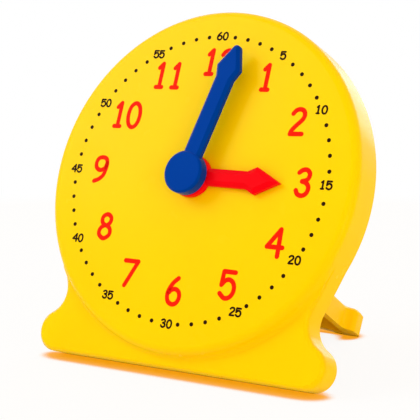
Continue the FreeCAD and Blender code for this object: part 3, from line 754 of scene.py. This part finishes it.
def stepped_range(tree, source, output, start, end):
    """Soft step from 0 to 1 between two values of another node."""
    made = node(tree, "ShaderNodeMapRange", interpolation_type="SMOOTHSTEP")
    made.inputs["From Min"].default_value = start
    made.inputs["From Max"].default_value = end
    link(tree, source, output, made, "Value")
    return made


def pale_floor(colour, painted_floor_shade):
    """Wide pale table top with a faint grain. The camera sees it white in the open, and where
    the clock covers it, it keeps a little of the clock's shade under a painted orange shade
    from the floor's own light."""
    half = FLOOR_HALF
    corners = [(-half, -half, 0.0), (half, -half, 0.0), (half, half, 0.0), (-half, half, 0.0)]
    data = bpy.data.meshes.new("floor")
    data.from_pydata(corners, [], [(0, 1, 2, 3)])
    material, tree, shader, place = start_material("floor_with_painted_shade")
    varied_colour(tree, place, shader, colour, shaded(colour, share=0.995), scale=6.0)
    uneven_gloss(tree, place, shader, scale=60.0, low=0.6, high=0.7)
    shader.inputs["Specular IOR Level"].default_value = 0.0
    cover = node(tree, "ShaderNodeAmbientOcclusion", samples=16, Distance=SHADE_REACH)
    clear = stepped_range(tree, cover, "AO", SHADE_COVER, OPEN_COVER)
    near = node(tree, "ShaderNodeMapRange")
    near.inputs["To Min"].default_value = PAINTED_SHADE_SHARE
    near.inputs["To Max"].default_value = OPEN_GLOW
    link(tree, clear, "Result", near, "Value")
    away = node(tree, "ShaderNodeVectorMath", operation="LENGTH")
    link(tree, place, "Object", away, "Vector")
    far = stepped_range(tree, away, "Value", FADE_START, FADE_END)
    share = node(tree, "ShaderNodeMath", operation="MAXIMUM")
    path = node(tree, "ShaderNodeLightPath")
    seen = node(tree, "ShaderNodeMath", operation="MULTIPLY")
    # The floor's own light: plain white in the open, a painted orange shade under the clock.
    white = node(tree, "ShaderNodeEmission", Strength=1.0)
    mix = node(tree, "ShaderNodeMixShader")
    new = tree.links.new
    new(near.outputs["Result"], share.inputs[0])
    new(far.outputs["Result"], share.inputs[1])
    new(share.outputs[0], seen.inputs[0])
    new(path.outputs["Is Camera Ray"], seen.inputs[1])
    # Painted shade: the floor's light turns orange where the clock covers it, white in the open.
    new(mixed_colour(tree, clear, painted_floor_shade, WHITE), white.inputs["Color"])
    new(seen.outputs[0], mix.inputs[0])
    new(shader.outputs[0], mix.inputs[1])
    new(white.outputs[0], mix.inputs[2])
    link(tree, mix, "Shader", tree.nodes["Material Output"], "Surface")
    data.materials.append(material)
    floor = bpy.data.objects.new("floor", data)
    bpy.context.scene.collection.objects.link(floor)


class CLOCK_OT_studio(bpy.types.Operator):
    """Pale floor, soft light and the camera"""

    bl_idname = "clock.studio"
    bl_label = "Set up the studio"

    def execute(self, context):
        studio = context.scene.clock_studio
        pale_world(studio.sky, studio.sky_colour)
        pale_floor(studio.floor, studio.painted_floor_shade)
        lamp("key_lamp", KEY_PLACE, KEY_SIZE, studio.key, studio.key_colour)
        lamp("side_lamp", SIDE_PLACE, SIDE_SIZE, studio.side, studio.side_colour)
        lamp("rear_lamp", REAR_PLACE, REAR_SIZE, studio.rear, studio.key_colour)
        data = bpy.data.cameras.new("camera")
        data.sensor_width = SENSOR_WIDTH
        data.lens = studio.lens
        data.clip_start = NEAREST_SEEN
        camera = bpy.data.objects.new("camera", data)
        camera.location = CAMERA_PLACE
        camera.rotation_euler = Vector(CAMERA_WAY).to_track_quat("-Z", "Y").to_euler()
        context.scene.collection.objects.link(camera)
        context.scene.camera = camera
        context.scene.view_settings.view_transform = "Standard"
        return {"FINISHED"}


class CLOCK_PT_panel(bpy.types.Panel):
    """Steps that finish the clock"""

    bl_idname = "CLOCK_PT_panel"
    bl_label = "Teaching clock"
    bl_space_type = "VIEW_3D"
    bl_region_type = "UI"
    bl_category = "Clock"

    def draw(self, context):
        for operator in OPERATORS:
            self.layout.operator(operator.bl_idname)
        scene = context.scene
        for group in (scene.clock_plastics, scene.clock_print, scene.clock_studio):
            for name in group.__annotations__:
                self.layout.prop(group, name)


OPERATORS = (
    CLOCK_OT_case,
    CLOCK_OT_hands,
    CLOCK_OT_gears,
    CLOCK_OT_metal,
    CLOCK_OT_dots,
    CLOCK_OT_minute_numerals,
    CLOCK_OT_hour_numerals,
    CLOCK_OT_studio,
)
CLASSES = (ClockPlastics, ClockPrint, ClockStudio) + OPERATORS + (CLOCK_PT_panel,)


def register():
    for item in CLASSES:
        bpy.utils.register_class(item)
    bpy.types.Scene.clock_plastics = PointerProperty(type=ClockPlastics)
    bpy.types.Scene.clock_print = PointerProperty(type=ClockPrint)
    bpy.types.Scene.clock_studio = PointerProperty(type=ClockStudio)


def unregister():
    del bpy.types.Scene.clock_studio
    del bpy.types.Scene.clock_print
    del bpy.types.Scene.clock_plastics
    for item in reversed(CLASSES):
        bpy.utils.unregister_class(item)


def main():
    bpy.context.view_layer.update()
    register()
    bpy.ops.clock.case()
    bpy.ops.clock.hands()
    bpy.ops.clock.gears()
    bpy.ops.clock.metal()
    bpy.ops.clock.dots()
    bpy.ops.clock.minute_numerals()
    bpy.ops.clock.hour_numerals()
    bpy.ops.clock.studio()
    bpy.context.view_layer.update()


if __name__ == "__main__":
    main()
